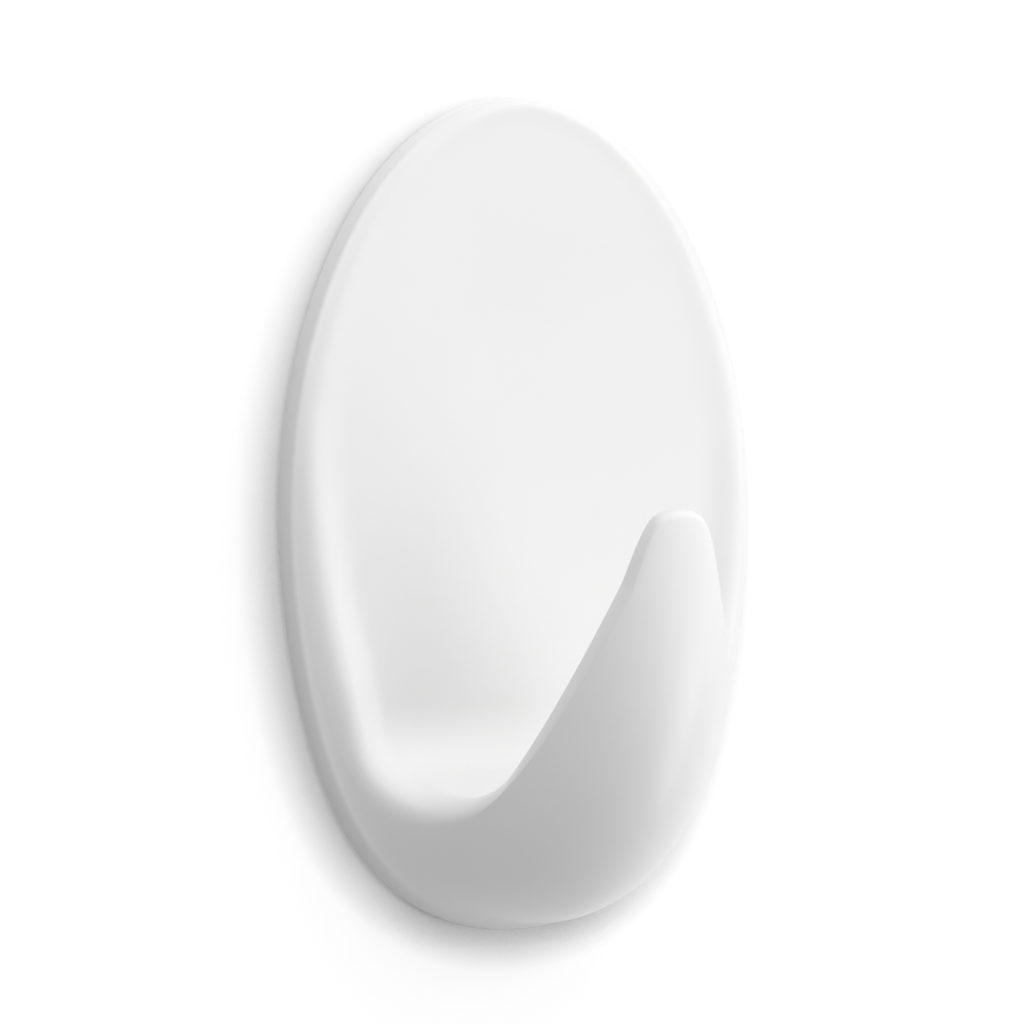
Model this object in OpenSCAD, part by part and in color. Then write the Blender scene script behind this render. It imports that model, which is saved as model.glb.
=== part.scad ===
// Adhesive wall hook: an oval moulded front with a scooped hook, a base plate behind it
// and a stretch-release strip that holds the plate on the wall.
// Frame: X to the right, Z up, +Y into the wall. The origin is the middle of the wall side.

/* [Oval front] */
// Height of the oval
oval_height = 70; // [62:1:84]
// Width of the oval at its widest level
oval_width = 45; // [40:1:54]
// Distance from the wall to the back edge of the rim
rim_gap = 0.75; // [0.7:0.05:0.9]
// Distance from the wall to the front edge of the rim's side
rim_depth = 2.9; // [2.6:0.1:3.1]
// Rounding of the rim's front edge
rim_round = 0.35; // [0.2:0.05:0.5]
// How far the rim's front edge is drawn in at the foot of the oval
rim_lean = 0.65; // [0.4:0.05:0.8]
// Thickness of the rim's side wall
rim_wall = 1.4; // [1:0.1:2]
// Distance from the wall to the flat face
face_depth = 3.2; // [3.1:0.1:3.8]
// Height of the rim's crest over the face at the foot of the flat part
crest_rise = 3.2; // [2.4:0.1:3.4]
// Width of the soft slope between the crest and the face
slope_width = 4.4; // [3.5:0.1:5.5]
// Width of the same slope at the top of the oval
slope_width_top = 2; // [1.4:0.1:3]
// Width of the rounding on the outer side of the crest, at the foot of the flat part
crest_round = 2.5; // [1.6:0.1:2.8]

/* [Hook] */
// Distance from the wall to the foremost point of the hook
hook_reach = 27.2; // [26:0.1:29]
// Radius of the cradle that the load hangs in
cradle_radius = 7.2; // [6.4:0.1:7.8]
// Drop of the cradle's lowest line below the middle of the oval
cradle_drop = 23.1; // [21:0.1:24.5]
// Angle that the cradle turns through, from the face to the arm
cradle_turn = 138.5; // [134:0.5:142]
// Radius of the arm's inner curve above the cradle
arm_radius = 40; // [36:0.5:44]
// Thickness of the arm's edge at its sides
arm_edge = 1.65; // [1.4:0.05:2.2]
// Thickness of the arm's edge at its tip
tip_edge = 1.6; // [1.4:0.05:2.2]
// Height over which the edge thickens towards the tip
tip_height = 3; // [2.5:0.1:6]
// Width of the rounding on the inner side of the arm's edge
edge_round = 0.9; // [0.6:0.05:1.2]
// Width of the rounding on the outer side of the arm's edge
arm_round = 1.6; // [1:0.05:1.9]
// Width of the same rounding at the tip
tip_round = 1.2; // [0.8:0.05:1.5]
// Width of the same rounding in the valley, where the lip is lowest
valley_round = 3.4; // [2.5:0.1:4]
// Length along the arm over which the valley's rounding fades
round_fade = 20; // [15:0.5:24]

/* [Hollow back] */
// Thickness of the walls around the hollow below the cradle
core_wall = 2; // [1.6:0.1:2.6]
// Thickness of the ribs in that hollow
rib_thickness = 1.2; // [0.8:0.1:1.6]
// Distance between neighbouring ribs, middle to middle
rib_pitch = 5; // [4.4:0.1:5.4]
// Depth of the two middle cells from the wall
middle_cell_depth = 9; // [7:0.25:10.5]
// Depth of the two outer cells from the wall
outer_cell_depth = 5.5; // [4:0.25:6]

/* [Base plate] */
// Height of the plate
plate_height = 45; // [42:0.5:47]
// Width of the plate between its lugs
plate_width = 23; // [21:0.5:24]
// Thickness of the plate
plate_thickness = 1.1; // [0.9:0.05:1.2]
// Height of the plate's top edge above the middle of the oval
plate_top = 24; // [22:0.5:25]
// Corner radius of the plate
plate_corner = 4; // [3:0.1:5]
// Width over a pair of lugs at the front, at the lugs' upper ends
lug_width = 26.2; // [25:0.1:27]
// Length of a lug along the slide
lug_length = 9; // [7:0.5:9.5]
// Distance from the plate's top edge down to the middle of the upper lugs
lug_drop = 9.5; // [8:0.25:11]
// Distance between the upper and the lower lugs
lug_pitch = 23; // [21:0.5:24]
// How much a lug widens from its upper end to its lower end, on each side
lug_taper = 0.12; // [0.05:0.01:0.2]
// Running gap between the plate and the front that slides on it
slide_gap = 0.15; // [0.1:0.01:0.2]
// Width of the stop that rests on the plate's top edge
stop_width = 14; // [10:0.5:15]
// Thickness of that stop
stop_thickness = 1.4; // [1:0.1:2]
// Thickness of a catch beside its lug
catch_thickness = 1.5; // [1.2:0.1:1.8]

/* [Strip] */
// Width of the strip
strip_width = 20; // [16:0.5:21]
// Thickness of the strip's core
core_thickness = 0.45; // [0.35:0.05:0.5]
// Thickness of each adhesive layer
adhesive_thickness = 0.1; // [0.08:0.01:0.12]
// Length of the pull tab below the plate
tab_length = 11.5; // [9:0.5:12]
// Corner radius at the end of the pull tab
tab_corner = 4; // [2:0.5:6]
// Thickness of the film on each side of the pull tab
tab_film = 0.06; // [0.04:0.01:0.08]

/* [Hidden] */
$fn = 48;

shell_white = [0.93, 0.93, 0.925];
plate_white = [0.86, 0.87, 0.86];
core_white = [0.95, 0.95, 0.93];
adhesive_clear = [0.86, 0.85, 0.78];
film_white = [0.9, 0.92, 0.94];

overrun = 1;
half_height = oval_height / 2;
half_width = oval_width / 2;
front_foot = half_height - rim_lean;

// Fullness of the oval below its middle, over that of a plain ellipse
egg_share = 0.235;
// Exponents of the dome: across its width, along its lower half and along its upper half
dome_across_share = 1.35;
dome_low_share = 0.49;
dome_top_share = 8.9;
// Exponent of the level in the lower half; over 2 keeps the dome full further down
dome_foot_share = 2.65;
// Part of the dome's height that is left at the top of the oval
dome_top_rest_share = 0.245;
// Exponent of the dome's last fall to the rim at the top
dome_edge_share = 0.9;
// How far the crest's rounding bulges, over the distance that it bridges
bulge_share = 0.55;
// How far the valley's and the arm's roundings bulge, over their distance from the sharp lip
leg_share = 0.62;
// Where along the face the one kind of rounding starts to turn into the other
soft_start_share = 0.95;
// Bulge of the crest at the top of the oval, over the bulge at its foot
top_bulge_share = 0.4;
// Part of the cradle's turn over which the soft slope fades out
slope_fade_share = 0.75;
// How much blunter the hook's tip is than the plain cut, and the part of the width where that fades
tip_blunt_share = 0.06;
tip_fade_share = 0.04;
// Height of the middle of the face, over the oval's half height
face_middle_share = 0.17;

strip_thickness = core_thickness + 2 * adhesive_thickness;
plate_back = strip_thickness;
plate_front = plate_back + plate_thickness;
recess_depth = plate_front + slide_gap;
plate_bottom = plate_top - plate_height;
lug_bevel = plate_thickness;
lug_middles = [plate_top - lug_drop, plate_top - lug_drop - lug_pitch];
core_ceiling = -cradle_drop - core_wall;

// Counts of the shell's grid: lines on each side, steps along each stretch of a line
line_count = 96;
edge_steps = 2;
dome_steps = 10;
lip_steps = 9;
outline_points = 96;
length_samples = 160;
search_steps = 40;

// Smooth step from 0 to 1
function smooth_step(t) = let (c = min(max(t, 0), 1)) c * c * (3 - 2 * c);

// Level over the half height of the front edge, from -1 at its foot to 1 at its top
function level_share(z) = min(max(z / (z < 0 ? front_foot : half_height), -1), 1);

// Half width of the front edge at a level: an ellipse, fuller below the middle
function oval_half(z) =
    let (c = level_share(z))
    half_width * sqrt(1 - c * c) * (1 + egg_share * pow(max(-c, 0), 3));

// Point of the oval at an angle from its lowest point, drawn in by an inset
function oval_point(a, inset) =
    let (c = -cos(a))
    [(half_width - inset) * sin(a) * (1 + egg_share * pow(max(-c, 0), 3)), (half_height - inset) * c];

function oval_outline(inset) =
    [for (i = [0 : outline_points - 1]) oval_point(360 * i / outline_points, inset)];

// Height of the dome's middle line at a level, over its full height
function dome_crown(z) =
    let (c = level_share(z), r = 1 - c * c)
    c < 0 ? pow(1 - pow(-c, dome_foot_share), dome_low_share)
          : (dome_top_rest_share + (1 - dome_top_rest_share) * pow(r, dome_top_share)) * pow(r, dome_edge_share);

// Distance of the dome's surface from the wall
function dome_depth(x, z) =
    let (w = oval_half(z), s = w > 0 ? min(abs(x) / w, 1) : 1)
    rim_depth + (hook_reach - rim_depth) * dome_crown(z) * pow(1 - s * s, dome_across_share);

// The scoop's line in the middle plane: down the face, round the cradle, up the arm
face_run = half_height + cradle_drop - cradle_radius;
cradle_run = cradle_radius * cradle_turn * PI / 180;
function scoop_turn(l) = min(max((l - face_run) / cradle_radius * 180 / PI, 0), cradle_turn);
function arm_turn(l) = cradle_turn + max(l - face_run - cradle_run, 0) / arm_radius * 180 / PI;
function scoop_depth(l) =
    face_depth + cradle_radius * (1 - cos(scoop_turn(l))) + arm_radius * (cos(cradle_turn) - cos(arm_turn(l)));
function scoop_level(l) =
    half_height - min(l, face_run) - cradle_radius * sin(scoop_turn(l))
    - arm_radius * (sin(arm_turn(l)) - sin(cradle_turn));

// Thickness that is left at the lip: the crest over the face, then the edge of the arm
function lip_rise(l) =
    crest_rise * pow(smooth_step(l / face_run), 2)
    + (arm_edge - crest_rise) * smooth_step((l - face_run) / cradle_run)
    + (l > face_run + cradle_run ? (tip_edge - arm_edge) * smooth_step(1 + scoop_level(l) / tip_height) : 0);

// Part of the dome's height that the lip reaches; 1 is the middle line
least_share = 0.000001;
function lip_reach(l) =
    (scoop_depth(l) + lip_rise(l) - rim_depth) / ((hook_reach - rim_depth) * max(dome_crown(scoop_level(l)), least_share));

// Half width of the lip: where the dome is as far from the wall as the scoop and the lip
function lip_half(l) =
    let (g = min(max(lip_reach(l), 0), 1),
         u = 1 - pow(g, 1 / dome_across_share),
         blunt = l > face_run ? tip_blunt_share * (1 - smooth_step(u / tip_fade_share)) : 0)
    oval_half(scoop_level(l)) * pow(u, 1 / 2 - blunt);

// Length along the scoop at which the lip closes on the middle line, found by halving
function lip_end(inside, outside, n) =
    n == 0 ? inside
           : let (m = (inside + outside) / 2)
             lip_reach(m) < 1 ? lip_end(m, outside, n - 1) : lip_end(inside, m, n - 1);

lip_top = lip_end(half_height, 0, search_steps);
lip_tip = lip_end(face_run + cradle_run / 2, face_run + cradle_run + oval_height, search_steps);

function lip_point(l) = [lip_half(l), scoop_depth(l) + lip_rise(l), scoop_level(l)];

// Lengths along the scoop for lines evenly spaced along the lip, from the tip to the top
function sample_length(i) = (lip_top + lip_tip) / 2 + (lip_tip - lip_top) / 2 * cos(180 * i / length_samples);
lip_run = [for (i = 0, run = 0; i <= length_samples;
                run = run + norm(lip_point(sample_length(i + 1)) - lip_point(sample_length(i))), i = i + 1)
           [run, sample_length(i)]];
lip_total = lip_run[length_samples][0];
function line_length(i) = lookup(lip_total * i / line_count, lip_run);

// Angle of the point of the oval that a line starts from
valley_length = face_run + cradle_radius * PI / 2;
function rim_angle(l) =
    let (z = scoop_level(l), c = -z / half_height)
    atan2(lip_half(l) / (half_width * (1 + egg_share * pow(max(c, 0), 3))), c);
function line_angle(l) =
    l > valley_length ? rim_angle(valley_length) * lip_half(l) / lip_half(valley_length) : rim_angle(l);

// Width of the lip's rounding on the dome: none at the top, then the crest's, the valley's and the arm's
round_limit_share = 0.75;
function round_run(l) =
    crest_round * smooth_step(l / face_run)
    + (valley_round - crest_round) * smooth_step((l - face_run) / (valley_length - face_run))
    + (arm_round - valley_round) * smooth_step((l - valley_length) / round_fade)
    + (l > face_run + cradle_run ? (tip_round - arm_round) * smooth_step(1 + scoop_level(l) / tip_height) : 0);

// Rays on the scoop run from the lip towards the middle of the face, measured along the scoop
face_middle = half_height * (1 - face_middle_share);
function scoop_point(x, l) = [x, scoop_depth(l), scoop_level(l)];
function ray_point(x, l, t) = scoop_point(x * (1 - t), l + (face_middle - l) * t);
function slope_run(l) =
    edge_round
    + (slope_width - edge_round)
      * smooth_step((face_run + slope_fade_share * cradle_run - l) / (slope_fade_share * cradle_run))
    + (slope_width_top - slope_width) * (1 - smooth_step(l / face_run));

function curve2(a, b, c, t) = (1 - t) * (1 - t) * a + 2 * t * (1 - t) * b + t * t * c;
function curve3(a, b, c, d, t) =
    pow(1 - t, 3) * a + 3 * t * pow(1 - t, 2) * b + 3 * t * t * (1 - t) * c + pow(t, 3) * d;
function unit(v) = v / norm(v);

// Points of one line: up the rim's side, over the dome to the lip and round it to the scoop
near_share = 0.02;
// Exponent that crowds the steps of the dome near its foot, where it bends the most
crowd_share = 1.8;
function shell_line(l, x, a) =
    let (back = oval_point(a, 0), z = scoop_level(l),
         foot = [back[0], back[1] < 0 ? back[1] * front_foot / half_height : back[1]],
         under = foot + (back - foot) * rim_round / (rim_depth - rim_gap),
         run = norm([x, z] - foot),
         start = rim_round / max(run, rim_round),
         finish = 1 - min(round_run(l) / max(run, rim_round), round_limit_share),
         at = function (t) let (q = foot + ([x, z] - foot) * t) [q[0], dome_depth(q[0], q[1]), q[1]],
         low = [under[0], rim_depth - rim_round, under[1]],
         corner = [foot[0], rim_depth, foot[1]],
         lip_out = at(finish),
         way_out = unit(lip_out - at(finish - near_share)),
         ray = norm([x, l - face_middle]),
         first = min(slope_run(l) / ray, 1 - near_share),
         lip_in = ray_point(x, l, first),
         way_in = unit(ray_point(x, l, first + near_share) - lip_in),
         sharp = (at(1) + ray_point(x, l, 0)) / 2,
         soft = smooth_step((l - soft_start_share * face_run) / (valley_length - soft_start_share * face_run)),
         bridge = norm(lip_in - lip_out) * bulge_share,
         rise = top_bulge_share + (1 - top_bulge_share) * smooth_step(l / face_run),
         leave = bridge * rise * (1 - soft) + norm(sharp - lip_out) * leg_share * soft,
         arrive = bridge * (1 - soft) + norm(sharp - lip_in) * leg_share * soft)
    concat([[back[0], rim_gap, back[1]]],
           [for (i = [0 : edge_steps]) curve2(low, corner, at(start), i / edge_steps)],
           [for (i = [1 : dome_steps]) at(start + (finish - start) * pow(i / dome_steps, crowd_share))],
           [for (i = [1 : lip_steps])
            curve3(lip_out, lip_out + way_out * leave, lip_in - way_in * arrive, lip_in, i / lip_steps)]);

// Lines of the left half from the tip to the top, then of the right half back to the tip
half_lines = [for (i = [0 : line_count])
              let (l = line_length(i), ends = i == 0 || i == line_count)
              shell_line(l, ends ? 0 : lip_half(l), i == line_count ? 180 : i == 0 ? 0 : line_angle(l))];
shell_lines = concat([for (line = half_lines) [for (p = line) [-p[0], -p[1], p[2]]]],
                     [for (i = [line_count - 1 : -1 : 1]) [for (p = half_lines[i]) [p[0], -p[1], p[2]]]]);
row_count = len(shell_lines[0]);
ring_count = len(shell_lines);

// Solid of the oval front with its hook, flat and full at the back
module oval_front_solid() {
    points = concat([for (line = shell_lines) each line], [[0, -rim_gap, 0]]);
    hub = len(points) - 1;
    function end_of(i) = (i + ring_count) % ring_count * row_count + row_count - 1;
    sides = [for (i = [0 : ring_count - 1], k = [0 : row_count - 2])
             let (a = i * row_count + k, b = (i + 1) % ring_count * row_count + k)
             each [[a, b, a + 1], [b, b + 1, a + 1]]];
    // The scoop bends one way only, so strips straight across close it
    strips = [for (i = [0 : line_count - 1])
              each [if (i < line_count - 1) [end_of(i), end_of(i + 1), end_of(-i - 1)],
                    if (i == line_count - 1) [end_of(i), end_of(i + 1), end_of(-i)],
                    if (i > 0 && i < line_count - 1) [end_of(i), end_of(-i - 1), end_of(-i)]]];
    back = [for (i = [0 : ring_count - 1]) [i * row_count, hub, (i + 1) % ring_count * row_count]];
    polyhedron(points, concat(sides, strips, back), convexity = 6);
}

// A flat outline in X and Z made thick from one distance off the wall to another
module slab(near, far) {
    translate([0, -near, 0])
        rotate([90, 0, 0])
            linear_extrude(far - near)
                children();
}

// Bar across the plate that is wider at its front and lower down; half is its half width at level top
module tapered_bar(half, top, gap, low, high) {
    function side(z, depth) =
        half + gap - lug_bevel * (plate_front - depth) / plate_thickness
        + lug_taper * (top - z) / lug_length;
    far = plate_front + gap;
    near = plate_back - gap;
    points = [for (z = [low, high], s = [-1, 1], depth = [near, far]) [s * side(z, depth), -depth, z]];
    polyhedron(points, [[0, 1, 3, 2], [4, 6, 7, 5], [0, 4, 5, 1], [2, 3, 7, 6], [0, 2, 6, 4], [1, 5, 7, 3]]);
}

// One pair of catches, which reach behind the lugs of the plate
module catch_pair(middle) {
    outer = lug_width / 2 + lug_taper + slide_gap + catch_thickness;
    low = middle - lug_length / 2;
    difference() {
        slab(rim_gap, recess_depth + slide_gap)
            translate([-outer, low])
                square([2 * outer, lug_length]);
        tapered_bar(lug_width / 2, low + lug_length, slide_gap, low - overrun, low + lug_length + overrun);
        slab(-overrun, recess_depth + overrun)
            translate([-plate_width / 2 - slide_gap, low - overrun])
                square([plate_width + 2 * slide_gap, lug_length + 2 * overrun]);
    }
}

// Cell of the hollow below the cradle, between two ribs
module core_cell(from, to, depth) {
    slab(recess_depth - slide_gap, depth)
        intersection() {
            polygon(oval_outline(rim_wall + core_wall));
            translate([from, -half_height])
                square([to - from, half_height + core_ceiling]);
        }
}

module hook_shell() {
    color(shell_white) {
        difference() {
            oval_front_solid();
            slab(-overrun, recess_depth)
                polygon(oval_outline(rim_wall));
            for (s = [0, 1]) mirror([s, 0, 0]) {
                core_cell(rib_thickness / 2, rib_pitch - rib_thickness / 2, middle_cell_depth);
                core_cell(rib_pitch + rib_thickness / 2, 2 * rib_pitch - rib_thickness / 2, outer_cell_depth);
            }
        }
        for (middle = lug_middles) catch_pair(middle);
        slab(plate_back + slide_gap, recess_depth + slide_gap)
            translate([-stop_width / 2, plate_top])
                square([stop_width, stop_thickness]);
    }
}

// Rectangle with round corners, from one level to another
module rounded_panel(width, low, high, radius) {
    intersection() {
        translate([-width / 2, low])
            square([width, high - low]);
        union() {
            translate([-width / 2 + radius, low])
                square([width - 2 * radius, high - low]);
            translate([-width / 2, low + radius])
                square([width, high - low - 2 * radius]);
            for (x = [-1, 1], z = [low + radius, high - radius])
                translate([x * (width / 2 - radius), z])
                    circle(radius);
        }
    }
}

module base_plate() {
    color(plate_white) {
        slab(plate_back, plate_front)
            rounded_panel(plate_width, plate_bottom, plate_top, plate_corner);
        for (middle = lug_middles)
            tapered_bar(lug_width / 2, middle + lug_length / 2, 0, middle - lug_length / 2, middle + lug_length / 2);
    }
}

module strip_core() {
    color(core_white)
        slab(adhesive_thickness, adhesive_thickness + core_thickness)
            rounded_panel(strip_width, plate_bottom - tab_length, plate_top, tab_corner);
}

// Adhesive covers the strip's core behind the plate and leaves the pull tab bare
module adhesive_layer(near) {
    color(adhesive_clear)
        slab(near, near + adhesive_thickness)
            intersection() {
                rounded_panel(strip_width, plate_bottom - tab_length, plate_top, tab_corner);
                translate([-strip_width / 2, plate_bottom])
                    square([strip_width, plate_height]);
            }
}

module plate_adhesive() {
    adhesive_layer(adhesive_thickness + core_thickness);
}

module wall_adhesive() {
    adhesive_layer(0);
}

// Film on one side of the pull tab, so that it doesn't stick to the fingers
module tab_face(near) {
    color(film_white)
        slab(near, near + tab_film)
            intersection() {
                rounded_panel(strip_width, plate_bottom - tab_length, plate_top, tab_corner);
                translate([-strip_width / 2, plate_bottom - tab_length])
                    square([strip_width, tab_length]);
            }
}

module tab_film_front() {
    tab_face(adhesive_thickness + core_thickness);
}

module tab_film_back() {
    tab_face(adhesive_thickness - tab_film);
}

hook_shell();
base_plate();
strip_core();
plate_adhesive();
wall_adhesive();
tab_film_front();
tab_film_back();
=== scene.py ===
import math

import bmesh
import bpy
import numpy as np
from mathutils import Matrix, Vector


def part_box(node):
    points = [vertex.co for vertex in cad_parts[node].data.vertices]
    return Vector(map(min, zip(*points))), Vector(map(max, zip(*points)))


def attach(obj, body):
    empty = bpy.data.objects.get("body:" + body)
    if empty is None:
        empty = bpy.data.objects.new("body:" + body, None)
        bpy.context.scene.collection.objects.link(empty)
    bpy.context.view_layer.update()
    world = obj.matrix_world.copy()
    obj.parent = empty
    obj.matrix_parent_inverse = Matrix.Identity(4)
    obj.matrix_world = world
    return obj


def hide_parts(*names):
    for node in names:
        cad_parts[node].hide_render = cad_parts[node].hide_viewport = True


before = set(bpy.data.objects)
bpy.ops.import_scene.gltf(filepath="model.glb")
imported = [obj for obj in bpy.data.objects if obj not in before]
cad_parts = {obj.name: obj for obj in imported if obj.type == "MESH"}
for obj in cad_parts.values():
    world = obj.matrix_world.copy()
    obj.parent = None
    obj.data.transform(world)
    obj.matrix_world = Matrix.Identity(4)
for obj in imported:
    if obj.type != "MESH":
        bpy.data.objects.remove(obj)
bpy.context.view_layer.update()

MM = 0.001

# Sizes of the moulded front, as the frame has them
front_low, front_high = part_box("hook_shell")
HALF_HEIGHT = (front_high.z - front_low.z) / 2
HALF_WIDTH = (front_high.x - front_low.x) / 2
RIM_GAP = -front_high.y

# Rim, face, crest and lower corners of the moulded front
RIM_DEPTH = 2.9 * MM
RIM_ROUND = 0.35 * MM
RIM_LEAN = 0.65 * MM
RIM_WALL = 1.4 * MM
FACE_DEPTH = 3.2 * MM
CREST_RISE = 3.2 * MM
SLOPE_WIDTH = 4.4 * MM
SLOPE_WIDTH_TOP = 2.0 * MM
CREST_ROUND = 2.5 * MM
CORNER_RISE = 1.0 * MM
CORNER_CLIMB = 9 * MM
CORNER_STAY = 4 * MM
FRONT_FOOT = HALF_HEIGHT - RIM_LEAN

# Cradle and arm of the hook
HOOK_REACH = 27.2 * MM
CRADLE_RADIUS = 7.2 * MM
CRADLE_DROP = 23.1 * MM
CRADLE_TURN = math.radians(138.5)
ARM_RADIUS = 40.0 * MM
ARM_EDGE = 1.65 * MM
TIP_EDGE = 1.6 * MM
TIP_HEIGHT = 3.0 * MM
EDGE_ROUND = 0.9 * MM
ARM_ROUND = 1.6 * MM
TIP_ROUND = 1.2 * MM
VALLEY_ROUND = 3.4 * MM
ROUND_FADE = 20 * MM

# Shares and exponents of the dome and of its lip
EGG_SHARE = 0.235
DOME_ACROSS = 1.35
DOME_LOW = 0.49
DOME_FOOT = 2.65
DOME_TOP = 8.9
DOME_TOP_REST = 0.245
DOME_EDGE = 0.9
BULGE_SHARE = 0.55
TOP_BULGE_SHARE = 0.4
LEG_SHARE = 0.62
SOFT_START_SHARE = 0.95
SLOPE_FADE_SHARE = 1.0
TIP_BLUNT_SHARE = 0.06
TIP_FADE_SHARE = 0.04
FACE_MIDDLE_SHARE = 0.17
ROUND_LIMIT_SHARE = 0.75

# Counts and small values of the front's grid
LINES = 240
LIP_SAMPLES = 4001
SMOOTH_LINES = 9
WALL_ROWS = 3
EDGE_ROWS = 4
DOME_ROWS = 28
LIP_ROWS = 14
ACROSS = 24
HALVINGS = 60
NEAR_SHARE = 0.02
CROWD = 1.8
LEAST = 1e-9
MERGE_DISTANCE = 0.0005 * MM

# The scoop's line: straight down the face, round the cradle, up the arm in a wider arc
FACE_RUN = HALF_HEIGHT + CRADLE_DROP - CRADLE_RADIUS
CRADLE_RUN = CRADLE_RADIUS * CRADLE_TURN
FACE_MIDDLE = HALF_HEIGHT * (1 - FACE_MIDDLE_SHARE)
VALLEY = FACE_RUN + CRADLE_RADIUS * math.pi / 2


def smooth_step(t):
    """Cubic that climbs from 0 to 1 with level ends: three t squared less two t cubed."""
    t = np.clip(t, 0, 1)
    return t * t * (3 - 2 * t)


def level_share(z):
    """Level over the front edge's half height, from -1 at its foot to 1 at its top."""
    return np.clip(z / np.where(z < 0, FRONT_FOOT, HALF_HEIGHT), -1, 1)


def egg(share):
    """Fullness below the middle: 1 plus a part of the cube of how far down the level lies."""
    return 1 + EGG_SHARE * np.maximum(-share, 0) ** 3


def oval_half(z):
    """Half width of the front edge at a level: an ellipse times the fullness."""
    share = level_share(z)
    return HALF_WIDTH * np.sqrt(1 - share * share) * egg(share)


def oval_points(angle, inset):
    """X and Z of the oval at angles from its lowest point, drawn in by an inset."""
    share = -np.cos(angle)
    return (HALF_WIDTH - inset) * np.sin(angle) * egg(share), (HALF_HEIGHT - inset) * share


def dome_crown(z):
    """Height of the dome's middle line over its full height: one power curve above the middle of the
    oval and another below it."""
    share = level_share(z)
    rest = np.maximum(1 - share * share, 0)
    low = np.maximum(1 - np.abs(share) ** DOME_FOOT, 0) ** DOME_LOW
    high = (DOME_TOP_REST + (1 - DOME_TOP_REST) * rest ** DOME_TOP) * rest ** DOME_EDGE
    return np.where(share < 0, low, high)


def dome_depth(x, z):
    """Distance of the dome from the wall: the rim's depth, plus the middle line's height times a
    power of one less the squared share of the half width."""
    across = np.clip(np.abs(x) / np.maximum(oval_half(z), LEAST), 0, 1)
    middle = (HOOK_REACH - RIM_DEPTH) * dome_crown(z)
    return RIM_DEPTH + middle * (1 - across * across) ** DOME_ACROSS


def scoop_turns(length):
    """Angles that the scoop's line has turned through in the cradle, and in the cradle and arm."""
    cradle = np.clip((length - FACE_RUN) / CRADLE_RADIUS, 0, CRADLE_TURN)
    arm = CRADLE_TURN + np.maximum(length - FACE_RUN - CRADLE_RUN, 0) / ARM_RADIUS
    return cradle, arm


def scoop_depth(length):
    """Distance of the scoop's line from the wall, at a length along it."""
    cradle, arm = scoop_turns(length)
    in_cradle = CRADLE_RADIUS * (1 - np.cos(cradle))
    return FACE_DEPTH + in_cradle + ARM_RADIUS * (math.cos(CRADLE_TURN) - np.cos(arm))


def scoop_level(length):
    """Level of the scoop's line, at a length along it."""
    cradle, arm = scoop_turns(length)
    in_cradle = CRADLE_RADIUS * np.sin(cradle)
    in_arm = ARM_RADIUS * (np.sin(arm) - math.sin(CRADLE_TURN))
    return HALF_HEIGHT - np.minimum(length, FACE_RUN) - in_cradle - in_arm


def lip_rise(length):
    """Thickness left at the lip: the crest over the face, higher at the face's lower corners, then
    the arm's edge, then the tip's."""
    crest = CREST_RISE * smooth_step(length / FACE_RUN) ** 2
    edge = (ARM_EDGE - CREST_RISE) * smooth_step((length - FACE_RUN) / CRADLE_RUN)
    tip = (TIP_EDGE - ARM_EDGE) * smooth_step(1 + scoop_level(length) / TIP_HEIGHT)
    climb = smooth_step(1 + (length - FACE_RUN) / CORNER_CLIMB)
    fall = 1 - smooth_step((length - FACE_RUN - CORNER_STAY) / (VALLEY - FACE_RUN))
    corner = CORNER_RISE * climb * fall
    return crest + edge + corner + np.where(length > FACE_RUN + CRADLE_RUN, tip, 0)


def lip_reach(length):
    """Part of the dome's height that the lip reaches; 1 is the middle line."""
    full = (HOOK_REACH - RIM_DEPTH) * np.maximum(dome_crown(scoop_level(length)), LEAST)
    return (scoop_depth(length) + lip_rise(length) - RIM_DEPTH) / full


def lip_half(length):
    """Half width of the lip: where the dome stands as far out as the scoop plus the lip's thickness,
    and a little wider near the tip, to blunt it."""
    room = 1 - np.clip(lip_reach(length), 0, 1) ** (1 / DOME_ACROSS)
    blunt = TIP_BLUNT_SHARE * (1 - smooth_step(room / TIP_FADE_SHARE)) * (length > FACE_RUN)
    return oval_half(scoop_level(length)) * room ** (0.5 - blunt)


def lip_end(inside, outside):
    """Length along the scoop at which the lip closes on the middle line, by halving."""
    for _ in range(HALVINGS):
        middle = (inside + outside) / 2
        if lip_reach(np.array([middle]))[0] < 1:
            inside = middle
        else:
            outside = middle
    return inside


def lip_lengths():
    """Lengths along the scoop of lines evenly spaced along the lip, from the tip to the top."""
    top = lip_end(HALF_HEIGHT, 0.0)
    tip = lip_end(FACE_RUN + CRADLE_RUN / 2, FACE_RUN + CRADLE_RUN + 2 * HALF_HEIGHT)
    length = (top + tip) / 2 + (tip - top) / 2 * np.cos(np.linspace(0, np.pi, LIP_SAMPLES))
    depth = scoop_depth(length) + lip_rise(length)
    point = np.stack([lip_half(length), depth, scoop_level(length)], -1)
    run = np.concatenate([[0], np.cumsum(np.linalg.norm(np.diff(point, axis=0), axis=1))])
    return np.interp(np.linspace(0, run[-1], LINES + 1), run, length)


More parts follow.
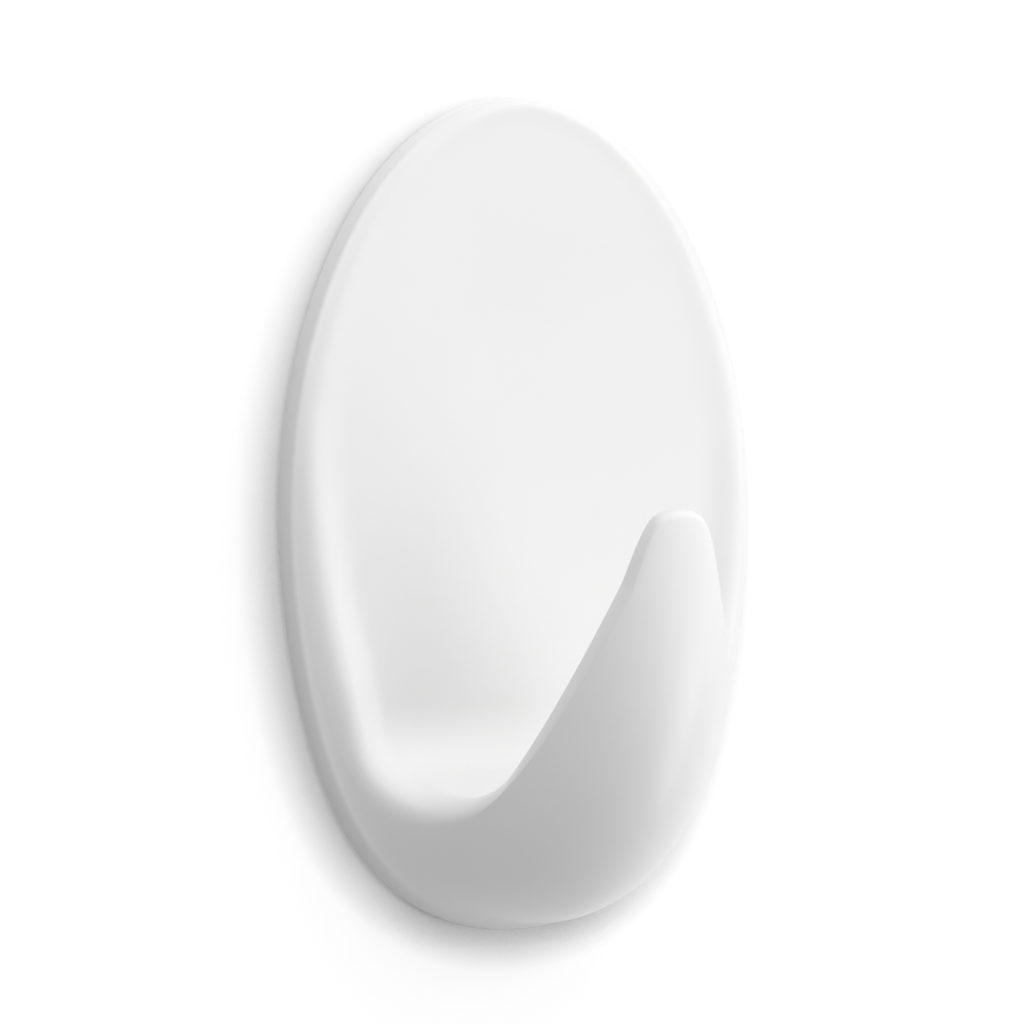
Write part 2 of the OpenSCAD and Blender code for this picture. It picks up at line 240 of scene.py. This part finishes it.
def rim_angles(length, half):
    """Angle on the oval that each line starts from: level with the lip beside the face, in
    proportion to the lip's half width from the valley to the tip, and averaged over neighbouring
    lines."""
    down = -scoop_level(length) / HALF_HEIGHT
    angle = np.arctan2(half / (HALF_WIDTH * egg(-down)), down)
    valley = np.argmin(np.abs(length - VALLEY))
    beyond = np.arange(len(length)) < valley
    angle = np.where(beyond, angle[valley] * half / half[valley], angle)
    angle[-1] = np.pi
    before = -angle[SMOOTH_LINES:0:-1]
    after = 2 * np.pi - angle[-2:-SMOOTH_LINES - 2:-1]
    padded = np.concatenate([before, angle, after])
    weights = np.hanning(2 * SMOOTH_LINES + 3)[1:-1]
    angle = np.convolve(padded, weights / weights.sum(), "valid")
    angle[0], angle[-1] = 0, np.pi
    return angle


def slope_run(length):
    """Width of the slope inside the lip: wide beside the face, narrow along the arm and at the
    top."""
    fade = SLOPE_FADE_SHARE * CRADLE_RUN
    wide = (SLOPE_WIDTH - EDGE_ROUND) * smooth_step((FACE_RUN + fade - length) / fade)
    top = (SLOPE_WIDTH_TOP - SLOPE_WIDTH) * (1 - smooth_step(length / FACE_RUN))
    return EDGE_ROUND + wide + top


def round_run(length):
    """Width of the lip's rounding on the dome: from nothing at the top to the crest's, then the
    valley's, the arm's and the tip's."""
    crest = CREST_ROUND * smooth_step(length / FACE_RUN)
    valley = (VALLEY_ROUND - CREST_ROUND) * smooth_step((length - FACE_RUN) / (VALLEY - FACE_RUN))
    arm = (ARM_ROUND - VALLEY_ROUND) * smooth_step((length - VALLEY) / ROUND_FADE)
    tip = (TIP_ROUND - ARM_ROUND) * smooth_step(1 + scoop_level(length) / TIP_HEIGHT)
    return crest + valley + arm + np.where(length > FACE_RUN + CRADLE_RUN, tip, 0)


def unit(vectors):
    """Vectors along the last axis, each divided by its length."""
    return vectors / np.maximum(np.linalg.norm(vectors, axis=-1, keepdims=True), LEAST)


def distance(a, b):
    """Distances between two rows of points."""
    return np.linalg.norm(a - b, axis=-1)


def half_lines():
    """Right half of the front as rows of lines from the tip to the top: up the rim's side, round
    its edge, over the dome to the lip, and round the lip to the scoop by a cubic curve that leaves
    along the dome and arrives along the scoop. The curve's two pulls are shares of the distance
    between its ends beside the face, and of the distances to the sharp lip in the valley and on
    the arm. Returns X, depth and Z."""
    length = lip_lengths()
    half = lip_half(length)
    half[0] = half[-1] = 0
    level = scoop_level(length)
    angle = rim_angles(length, half)
    back_x, back_z = oval_points(angle, 0)
    foot_z = np.where(back_z < 0, back_z * FRONT_FOOT / HALF_HEIGHT, back_z)
    back = np.stack([back_x, np.full_like(back_x, RIM_GAP), back_z], -1)
    corner = np.stack([back_x, np.full_like(back_x, RIM_DEPTH), foot_z], -1)
    low = corner + (back - corner) * RIM_ROUND / (RIM_DEPTH - RIM_GAP)

    def on_dome(t):
        x = back_x + (half - back_x) * t
        z = foot_z + (level - foot_z) * t
        return np.stack([x, dome_depth(x, z), z], -1)

    def on_scoop(t):
        x = half * (1 - t)
        along = length + (FACE_MIDDLE - length) * t
        return np.stack([x, scoop_depth(along), scoop_level(along)], -1)

    run = np.hypot(half - back_x, level - foot_z)
    start = RIM_ROUND / np.maximum(run, RIM_ROUND)
    end = 1 - np.minimum(round_run(length) / np.maximum(run, RIM_ROUND), ROUND_LIMIT_SHARE)
    wall = [back + (low - back) * t for t in np.linspace(0, 1, WALL_ROWS + 1)]
    edge_end = on_dome(start)
    edge = [(1 - t) ** 2 * low + 2 * t * (1 - t) * corner + t * t * edge_end
            for t in np.linspace(0, 1, EDGE_ROWS + 1)[1:]]
    dome = [on_dome(start + (end - start) * t ** CROWD)
            for t in np.linspace(0, 1, DOME_ROWS + 1)[1:]]

    first = np.minimum(slope_run(length) / np.hypot(half, length - FACE_MIDDLE), 1 - NEAR_SHARE)
    lip_out, lip_in = dome[-1], on_scoop(first)
    way_out = unit(lip_out - on_dome(end - NEAR_SHARE))
    way_in = unit(on_scoop(first + NEAR_SHARE) - lip_in)
    sharp = (on_dome(1) + on_scoop(0)) / 2
    soft_start = SOFT_START_SHARE * FACE_RUN
    soft = smooth_step((length - soft_start) / (VALLEY - soft_start))
    bridge = BULGE_SHARE * distance(lip_in, lip_out)
    rise = TOP_BULGE_SHARE + (1 - TOP_BULGE_SHARE) * smooth_step(length / FACE_RUN)
    leave = bridge * rise * (1 - soft) + LEG_SHARE * distance(sharp, lip_out) * soft
    arrive = bridge * (1 - soft) + LEG_SHARE * distance(sharp, lip_in) * soft
    pull_out = lip_out + way_out * leave[:, None]
    pull_in = lip_in - way_in * arrive[:, None]
    lip = [(1 - t) ** 3 * lip_out + 3 * t * (1 - t) ** 2 * pull_out + 3 * t * t * (1 - t) * pull_in
           + t ** 3 * lip_in for t in np.linspace(0, 1, LIP_ROWS + 1)[1:]]
    return np.array(wall + edge + dome + lip)


def to_frame(points):
    """X, depth and Z turned into the frame's X, Y and Z: Y runs into the wall."""
    return points * np.array([1, -1, 1])


def grid_faces(rows, columns, closed):
    """Quads of a grid of rows by columns, whose last column meets the first where it is closed."""
    row = np.arange(rows - 1)[:, None] * columns
    here = np.arange(columns if closed else columns - 1)[None, :]
    beside = (here + 1) % columns
    corners = (row + here, row + beside, row + columns + beside, row + columns + here)
    return np.stack(np.broadcast_arrays(*corners), -1).reshape(-1, 4)


def mesh_piece(name, points, faces):
    """Mesh object of points and faces, with doubles merged and normals turned outwards."""
    mesh = bpy.data.meshes.new(name)
    mesh.from_pydata(points.tolist(), [], [list(face) for face in faces])
    work = bmesh.new()
    work.from_mesh(mesh)
    bmesh.ops.remove_doubles(work, verts=work.verts, dist=MERGE_DISTANCE)
    bmesh.ops.recalc_face_normals(work, faces=work.faces)
    work.to_mesh(mesh)
    work.free()
    piece = bpy.data.objects.new(name, mesh)
    bpy.context.scene.collection.objects.link(piece)
    return piece


def front_piece():
    """Solid of the moulded front with a full back: the lines of both halves as one closed grid,
    strips straight across the scoop between the two halves, and one flat face behind."""
    right = half_lines()
    left = right * np.array([-1, 1, 1])
    ring = np.concatenate([left, right[:, -2:0:-1]], axis=1)
    rows, columns = ring.shape[:2]
    across = np.linspace(0, 1, ACROSS + 1)[None, :, None]
    scoop = left[-1][:, None] * (1 - across) + right[-1][:, None] * across
    offset = rows * columns
    faces = [*grid_faces(rows, columns, True).tolist(), range(columns)]
    faces += (grid_faces(LINES + 1, ACROSS + 1, False) + offset).tolist()
    points = np.concatenate([ring.reshape(-1, 3), scoop.reshape(-1, 3)])
    return mesh_piece("hook_front", to_frame(points), faces)


# Sizes of the hollow back, set against the plate that the front slides on
plate_low, plate_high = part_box("base_plate")
SLIDE_GAP = 0.15 * MM
PLATE_BACK = -plate_high.y
PLATE_FRONT = -plate_low.y
PLATE_TOP = plate_high.z
RECESS_DEPTH = PLATE_FRONT + SLIDE_GAP
SEAT_DEPTH = RECESS_DEPTH + SLIDE_GAP
CORE_WALL = 2 * MM
RIB_THICKNESS = 1.2 * MM
RIB_PITCH = 5 * MM
CELL_DEPTHS = (9 * MM, 5.5 * MM)
CELL_CEILING = -CRADLE_DROP - CORE_WALL
LUG_LENGTH = 9 * MM
LUG_DROP = 9.5 * MM
LUG_PITCH = 23 * MM
LUG_ROWS = 2
LUG_TAPER = 0.12 * MM
LUG_HALF = (plate_high.x - plate_low.x) / 2 - LUG_TAPER
CATCH_THICKNESS = 1.5 * MM
STOP_WIDTH = 14 * MM
STOP_THICKNESS = 1.4 * MM
OVERRUN = 1 * MM
OUTLINE_POINTS = 256
CELL_POINTS = 17
SHARP_ANGLE = math.radians(38)


def prism(outline, near, far):
    """Points and faces of a flat outline in X and Z, made thick from one depth to another."""
    count = len(outline)
    rows = [np.stack([outline[:, 0], np.full(count, depth), outline[:, 1]], -1)
            for depth in (near, far)]
    faces = [*grid_faces(2, count, True).tolist(), range(count), range(count, 2 * count)]
    return np.concatenate(rows), faces


def joined(name, solids):
    """One mesh object of several solids, each given as points and faces."""
    points = []
    faces = []
    offset = 0
    for solid_points, solid_faces in solids:
        points.append(to_frame(solid_points))
        faces += [[index + offset for index in face] for face in solid_faces]
        offset += len(solid_points)
    return mesh_piece(name, np.concatenate(points), faces)


def recess():
    """Hollow behind the whole front: the oval drawn in by the rim's wall."""
    angle = np.linspace(0, 2 * np.pi, OUTLINE_POINTS, endpoint=False)
    outline = np.stack(oval_points(angle, RIM_WALL), -1)
    return prism(outline, RIM_GAP - OVERRUN, RECESS_DEPTH)


def cell(side, start, end, depth):
    """Hollow between two ribs below the cradle: a column whose foot follows the oval, drawn in."""
    oval_x, oval_z = oval_points(np.linspace(0, np.pi / 2, OUTLINE_POINTS), RIM_WALL + CORE_WALL)
    x = np.linspace(start, end, CELL_POINTS)
    foot = np.stack([x, np.interp(x, oval_x, oval_z)], -1)
    outline = np.concatenate([foot, [[end, CELL_CEILING], [start, CELL_CEILING]]])
    return prism(outline * np.array([side, 1]), RECESS_DEPTH - SLIDE_GAP, depth)


def cells():
    """The four hollows between the ribs, deeper near the middle."""
    half_rib = RIB_THICKNESS / 2
    return [cell(side, i * RIB_PITCH + half_rib, (i + 1) * RIB_PITCH - half_rib, depth)
            for side in (-1, 1) for i, depth in enumerate(CELL_DEPTHS)]


def catch(side, top):
    """Bar beside a lug whose inner face leans inwards towards the wall and outwards lower down."""
    outer = LUG_HALF + LUG_TAPER + SLIDE_GAP + CATCH_THICKNESS
    depth = np.array([RIM_GAP, SEAT_DEPTH])
    level = np.array([top - LUG_LENGTH, top])
    level_at, depth_at = np.meshgrid(level, depth, indexing="ij")
    lean = LUG_TAPER * (top - level_at) / LUG_LENGTH
    inner = LUG_HALF + SLIDE_GAP - (PLATE_FRONT - depth_at) + lean
    ring_x = np.stack([inner[:, 0], inner[:, 1], np.full(2, outer), np.full(2, outer)], -1) * side
    ring_depth = np.broadcast_to([depth[0], depth[1], depth[1], depth[0]], (2, 4))
    ring_level = np.broadcast_to(level[:, None], (2, 4))
    points = np.stack([ring_x, ring_depth, ring_level], -1).reshape(-1, 3)
    return points, [*grid_faces(2, 4, True).tolist(), [0, 1, 2, 3], [4, 5, 6, 7]]


def catches_and_stop():
    """Two pairs of catches that reach behind the plate's lugs, and the stop over its top edge."""
    tops = [PLATE_TOP - LUG_DROP - i * LUG_PITCH + LUG_LENGTH / 2 for i in range(LUG_ROWS)]
    half = STOP_WIDTH / 2
    high = PLATE_TOP + STOP_THICKNESS
    outline = np.array([[-half, PLATE_TOP], [half, PLATE_TOP], [half, high], [-half, high]])
    stop = prism(outline, PLATE_BACK + SLIDE_GAP, SEAT_DEPTH)
    return [stop] + [catch(side, top) for side in (-1, 1) for top in tops]


def combine(piece, tool, operation):
    """Cut one mesh object from another or join it on, and remove the tool."""
    modifier = piece.modifiers.new("combine", "BOOLEAN")
    modifier.object = tool
    modifier.operation = operation
    modifier.solver = "EXACT"
    seen = piece.evaluated_get(bpy.context.evaluated_depsgraph_get())
    mesh = bpy.data.meshes.new_from_object(seen)
    piece.modifiers.clear()
    old = piece.data
    piece.data = mesh
    mesh.name = piece.name
    bpy.data.meshes.remove(old)
    tool_mesh = tool.data
    bpy.data.objects.remove(tool)
    bpy.data.meshes.remove(tool_mesh)


def hook_front():
    """The moulded front: the dome with its scoop, hollowed out behind, with catches and a stop."""
    piece = front_piece()
    combine(piece, joined("recess", [recess()]), "DIFFERENCE")
    combine(piece, joined("cells", cells()), "DIFFERENCE")
    combine(piece, joined("catches", catches_and_stop()), "UNION")
    piece.data.shade_smooth()
    piece.data.set_sharp_from_angle(angle=SHARP_ANGLE)
    return piece


# Finishes: a pattern runs from its first tone or gloss at the low value to its last at the high one
PATTERN_LOW = 0.3
PATTERN_HIGH = 0.7


class Finish:
    """A material with a principled shader, and helpers for the nodes that feed it."""

    def __init__(self, name, ior):
        self.material = bpy.data.materials.new(name)
        self.material.use_nodes = True
        self.tree = self.material.node_tree
        self.shader = self.tree.nodes["Principled BSDF"]
        self.coords = self.tree.nodes.new("ShaderNodeTexCoord").outputs["Object"]
        self.shader.inputs["IOR"].default_value = ior

    def noise(self, scale, detail=2.0, stretch=(1, 1, 1)):
        """Cloudy pattern; scale counts its spots in a metre, stretch squeezes it along an axis."""
        mapping = self.tree.nodes.new("ShaderNodeMapping")
        mapping.inputs["Scale"].default_value = stretch
        self.tree.links.new(self.coords, mapping.inputs["Vector"])
        node = self.tree.nodes.new("ShaderNodeTexNoise")
        node.inputs["Scale"].default_value = scale
        node.inputs["Detail"].default_value = detail
        self.tree.links.new(mapping.outputs["Vector"], node.inputs["Vector"])
        return node.outputs["Fac"]

    def spots(self, scale):
        """Pattern of round cells; scale counts them in a metre."""
        node = self.tree.nodes.new("ShaderNodeTexVoronoi")
        node.inputs["Scale"].default_value = scale
        self.tree.links.new(self.coords, node.inputs["Vector"])
        return node.outputs["Distance"]

    def colour(self, pattern, dark, light):
        """Base colour between two tones, by a pattern."""
        ramp = self.tree.nodes.new("ShaderNodeValToRGB")
        ramp.color_ramp.elements[0].position = PATTERN_LOW
        ramp.color_ramp.elements[0].color = (*dark, 1)
        ramp.color_ramp.elements[1].position = PATTERN_HIGH
        ramp.color_ramp.elements[1].color = (*light, 1)
        self.tree.links.new(pattern, ramp.inputs["Fac"])
        self.tree.links.new(ramp.outputs["Color"], self.shader.inputs["Base Color"])

    def roughness(self, pattern, low, high):
        """Roughness between two values, by a pattern."""
        node = self.tree.nodes.new("ShaderNodeMapRange")
        node.inputs["From Min"].default_value = PATTERN_LOW
        node.inputs["From Max"].default_value = PATTERN_HIGH
        node.inputs["To Min"].default_value = low
        node.inputs["To Max"].default_value = high
        self.tree.links.new(pattern, node.inputs["Value"])
        self.tree.links.new(node.outputs["Result"], self.shader.inputs["Roughness"])

    def relief(self, *layers):
        """Bump of several patterns, each with its height in metres and its strength."""
        normal = None
        for pattern, height, strength in layers:
            bump = self.tree.nodes.new("ShaderNodeBump")
            bump.inputs["Distance"].default_value = height
            bump.inputs["Strength"].default_value = strength
            self.tree.links.new(pattern, bump.inputs["Height"])
            if normal:
                self.tree.links.new(normal, bump.inputs["Normal"])
            normal = bump.outputs["Normal"]
        self.tree.links.new(normal, self.shader.inputs["Normal"])


def satin_white():
    """White moulded plastic with a soft gloss: faint clouds of tone and gloss, and a slight
    waviness."""
    finish = Finish("satin_white_plastic", ior=1.49)
    finish.colour(finish.noise(70), (0.852, 0.852, 0.85), (0.868, 0.868, 0.866))
    finish.roughness(finish.noise(160), 0.28, 0.36)
    finish.relief((finish.noise(420), 0.02 * MM, 0.12), (finish.noise(2600), 0.01 * MM, 0.08))
    return finish.material


def matt_white():
    """White moulded plastic with a fine matt grain."""
    finish = Finish("matt_white_plastic", ior=1.49)
    finish.colour(finish.noise(90), (0.78, 0.78, 0.77), (0.82, 0.82, 0.812))
    finish.roughness(finish.noise(240), 0.5, 0.64)
    finish.relief((finish.noise(3200, 4), 0.03 * MM, 0.35))
    return finish.material


def strip_foam():
    """Stretchy white core of the strip: fine closed cells."""
    finish = Finish("strip_foam", ior=1.5)
    finish.colour(finish.noise(400, 3), (0.82, 0.82, 0.79), (0.87, 0.87, 0.845))
    finish.roughness(finish.noise(700), 0.6, 0.78)
    finish.relief((finish.spots(2600), 0.04 * MM, 0.4))
    return finish.material


def adhesive_gum():
    """Tacky clear adhesive: a warm tint, shallow coating streaks down the strip and small
    blisters."""
    finish = Finish("adhesive_gum", ior=1.47)
    finish.colour(finish.noise(300, 4), (0.74, 0.73, 0.66), (0.82, 0.81, 0.745))
    finish.roughness(finish.noise(500, 3), 0.22, 0.42)
    streaks = finish.noise(900, 2, (1, 1, 0.06))
    finish.relief((streaks, 0.03 * MM, 0.3), (finish.spots(900), 0.02 * MM, 0.2))
    return finish.material


def tab_film():
    """Thin smooth film on the pull tab: cool white with faint drawing lines across it."""
    finish = Finish("tab_film", ior=1.5)
    finish.colour(finish.noise(260), (0.8, 0.82, 0.84), (0.855, 0.87, 0.885))
    finish.roughness(finish.noise(400), 0.3, 0.4)
    finish.relief((finish.noise(1500, 2, (0.05, 1, 1)), 0.02 * MM, 0.25))
    return finish.material


def paint(node, material):
    """Give a node's object one material in all its slots."""
    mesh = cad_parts[node].data
    mesh.materials.clear()
    mesh.materials.append(material)


# The object
shell_finish = satin_white()
front = hook_front()
front.data.materials.append(shell_finish)
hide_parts("hook_shell")
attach(front, "hook")
paint("base_plate", matt_white())
paint("strip_core", strip_foam())
gum = adhesive_gum()
paint("plate_adhesive", gum)
paint("wall_adhesive", gum)
film = tab_film()
paint("tab_film_front", film)
paint("tab_film_back", film)

# Stage: a white wall that the hook hangs on
WALL_RADIUS = 0.35
WALL_POINTS = 192
WALL_INSET = 1.0 * MM
WALL_GAP = 0.05 * MM
WALL_WHITE = 0.68
WALL_GLOW = 0.43
# Painted shade on the wall: how far, how strongly and along which upward lean the object's closeness
# darkens the wall's colour and glow
PAINTED_SHADE_REACH = 4.0 * MM
PAINTED_SHADE_SHARE = 0.95
PAINTED_SHADE_SAMPLES = 4
PAINTED_SHADE_LEAN = (0.06, -0.60, 0.80)


def math_result(tree, operation, first, second):
    """Output of a math node on two values, each a socket or a plain number."""
    node = tree.nodes.new("ShaderNodeMath")
    node.operation = operation
    for value, socket in zip((first, second), node.inputs):
        if isinstance(value, bpy.types.NodeSocket):
            tree.links.new(value, socket)
        else:
            socket.default_value = value
    return node.outputs[0]


def wall_material():
    """White to the camera and in reflections, and clear from behind. It keeps the object's shadow
    from the lamps, and its colour and glow carry painted shade close to the object, most of all
    below it, as closeness is felt along a direction that leans upwards."""
    material = bpy.data.materials.new("wall_white")
    material.use_nodes = True
    tree = material.node_tree
    tree.nodes.clear()
    # Painted shade: the wall's colour and glow are darkened by the object's closeness, felt along a
    # lean upwards, so this painted shadow lies mostly below the object
    lean = tree.nodes.new("ShaderNodeCombineXYZ")
    for axis, value in zip("XYZ", PAINTED_SHADE_LEAN):
        lean.inputs[axis].default_value = value
    painted_contact_shade = tree.nodes.new("ShaderNodeAmbientOcclusion")
    painted_contact_shade.samples = PAINTED_SHADE_SAMPLES
    painted_contact_shade.inputs["Distance"].default_value = PAINTED_SHADE_REACH
    tree.links.new(lean.outputs["Vector"], painted_contact_shade.inputs["Normal"])
    shade = tree.nodes.new("ShaderNodeMapRange")
    shade.inputs["To Min"].default_value = 1 - PAINTED_SHADE_SHARE
    tree.links.new(painted_contact_shade.outputs["AO"], shade.inputs["Value"])
    diffuse = tree.nodes.new("ShaderNodeBsdfDiffuse")
    tone = math_result(tree, "MULTIPLY", shade.outputs["Result"], WALL_WHITE)
    tree.links.new(tone, diffuse.inputs["Color"])
    path = tree.nodes.new("ShaderNodeLightPath").outputs
    seen = math_result(tree, "MAXIMUM", path["Is Camera Ray"], path["Is Glossy Ray"])
    glow = tree.nodes.new("ShaderNodeEmission")
    tree.links.new(shade.outputs["Result"], glow.inputs["Color"])
    tree.links.new(math_result(tree, "MULTIPLY", seen, WALL_GLOW), glow.inputs["Strength"])
    both = tree.nodes.new("ShaderNodeAddShader")
    tree.links.new(diffuse.outputs[0], both.inputs[0])
    tree.links.new(glow.outputs[0], both.inputs[1])
    clear = tree.nodes.new("ShaderNodeBsdfTransparent")
    side = tree.nodes.new("ShaderNodeNewGeometry")
    mix = tree.nodes.new("ShaderNodeMixShader")
    tree.links.new(side.outputs["Backfacing"], mix.inputs[0])
    tree.links.new(both.outputs[0], mix.inputs[1])
    tree.links.new(clear.outputs[0], mix.inputs[2])
    output = tree.nodes.new("ShaderNodeOutputMaterial")
    tree.links.new(mix.outputs[0], output.inputs["Surface"])
    return material


def wall_piece(name, outline, faces, material):
    """Flat piece of the wall from points in X and Z, which casts no shadow."""
    points = np.stack([outline[:, 0], np.full(len(outline), WALL_GAP), outline[:, 1]], -1)
    mesh = bpy.data.meshes.new(name)
    mesh.from_pydata(points.tolist(), [], faces)
    mesh.materials.append(material)
    wall = bpy.data.objects.new(name, mesh)
    wall.visible_transmission = False
    wall.visible_shadow = False
    bpy.context.scene.collection.objects.link(wall)
    return wall


def white_wall():
    """Wall just behind the strip: a ring from the oval out to a far circle, and a patch inside it
    that only the camera sees, so that the object's back keeps its light."""
    material = wall_material()
    angle = np.linspace(0, 2 * np.pi, WALL_POINTS, endpoint=False)
    inner = np.stack(oval_points(angle, WALL_INSET), -1)
    far = np.stack([np.sin(angle), -np.cos(angle)], -1) * WALL_RADIUS
    ring = np.concatenate([far, inner])
    wall_piece("wall", ring, grid_faces(2, WALL_POINTS, True).tolist(), material)
    patch = wall_piece("wall_patch", inner, [list(range(WALL_POINTS))], material)
    patch.visible_diffuse = False
    patch.visible_glossy = False


# Light: soft boxes in front, above, at the right and behind; place and size in metres, then watts
LAMPS = {
    "front_box": ((0.00, -0.80, 0.00), (0.90, 0.90), 1.36),
    "right_front_box": ((0.50, -0.62, 0.05), (0.90, 0.90), 1.73),
    "top_front_box": ((0.00, -0.57, 0.57), (0.90, 0.90), 1.77),
    "top_box": ((0.00, -0.20, 0.78), (0.50, 0.50), 0.96),
    "top_right_box": ((0.50, -0.30, 0.55), (0.50, 0.50), 0.90),
    "top_left_box": ((-0.50, -0.30, 0.55), (0.50, 0.50), 0.94),
    "right_box": ((0.80, -0.15, 0.05), (0.50, 0.50), 0.60),
    "low_right_box": ((0.55, -0.40, -0.40), (0.50, 0.50), 1.15),
    "back_box": ((0.20, 0.70, 0.30), (0.60, 0.60), 3.0),
}
ROOM_LIGHT = 0.263


def soft_box(name, place, size, watts):
    """Rectangular lamp at a place, turned to the middle of the object."""
    data = bpy.data.lights.new(name, "AREA")
    data.shape = "RECTANGLE"
    data.size, data.size_y = size
    data.energy = watts
    lamp = bpy.data.objects.new(name, data)
    lamp.location = place
    lamp.rotation_euler = (-Vector(place)).to_track_quat("-Z", "Y").to_euler()
    bpy.context.scene.collection.objects.link(lamp)


def white_room():
    """World that is white to the camera and in reflections, and lights the object evenly."""
    world = bpy.data.worlds.new("room")
    world.use_nodes = True
    tree = world.node_tree
    light = tree.nodes["Background"]
    light.inputs["Color"].default_value = (1, 1, 1, 1)
    light.inputs["Strength"].default_value = ROOM_LIGHT
    white = tree.nodes.new("ShaderNodeBackground")
    white.inputs["Color"].default_value = (1, 1, 1, 1)
    path = tree.nodes.new("ShaderNodeLightPath").outputs
    seen = math_result(tree, "MAXIMUM", path["Is Camera Ray"], path["Is Glossy Ray"])
    seen = math_result(tree, "MAXIMUM", seen, path["Is Transmission Ray"])
    mix = tree.nodes.new("ShaderNodeMixShader")
    tree.links.new(seen, mix.inputs[0])
    tree.links.new(light.outputs[0], mix.inputs[1])
    tree.links.new(white.outputs[0], mix.inputs[2])
    tree.links.new(mix.outputs[0], tree.nodes["World Output"].inputs["Surface"])
    bpy.context.scene.world = world


# Camera: level with the middle of the oval, to its left, with a long lens
SIDE_ANGLE = math.radians(31)
CAMERA_DISTANCE = 0.400
LENS = 166.5
SENSOR_WIDTH = 36
NEAR_CLIP = 0.01
CAMERA_RIGHT = 0.237 * MM
CAMERA_UP = 0.148 * MM


def photo_camera():
    """Camera on a circle round the object's middle, moved a little right and up to frame it."""
    away = Vector((-math.sin(SIDE_ANGLE), -math.cos(SIDE_ANGLE), 0))
    right = Vector((math.cos(SIDE_ANGLE), -math.sin(SIDE_ANGLE), 0))
    data = bpy.data.cameras.new("camera")
    data.lens = LENS
    data.sensor_width = SENSOR_WIDTH
    data.clip_start = NEAR_CLIP
    camera = bpy.data.objects.new("camera", data)
    camera.location = away * CAMERA_DISTANCE + right * CAMERA_RIGHT + Vector((0, 0, CAMERA_UP))
    camera.rotation_euler = (math.pi / 2, 0, -SIDE_ANGLE)
    bpy.context.scene.collection.objects.link(camera)
    bpy.context.scene.camera = camera


white_wall()
for lamp_name, (lamp_place, lamp_size, lamp_watts) in LAMPS.items():
    soft_box(lamp_name, lamp_place, lamp_size, lamp_watts)
white_room()
photo_camera()
bpy.context.scene.view_settings.view_transform = "Standard"
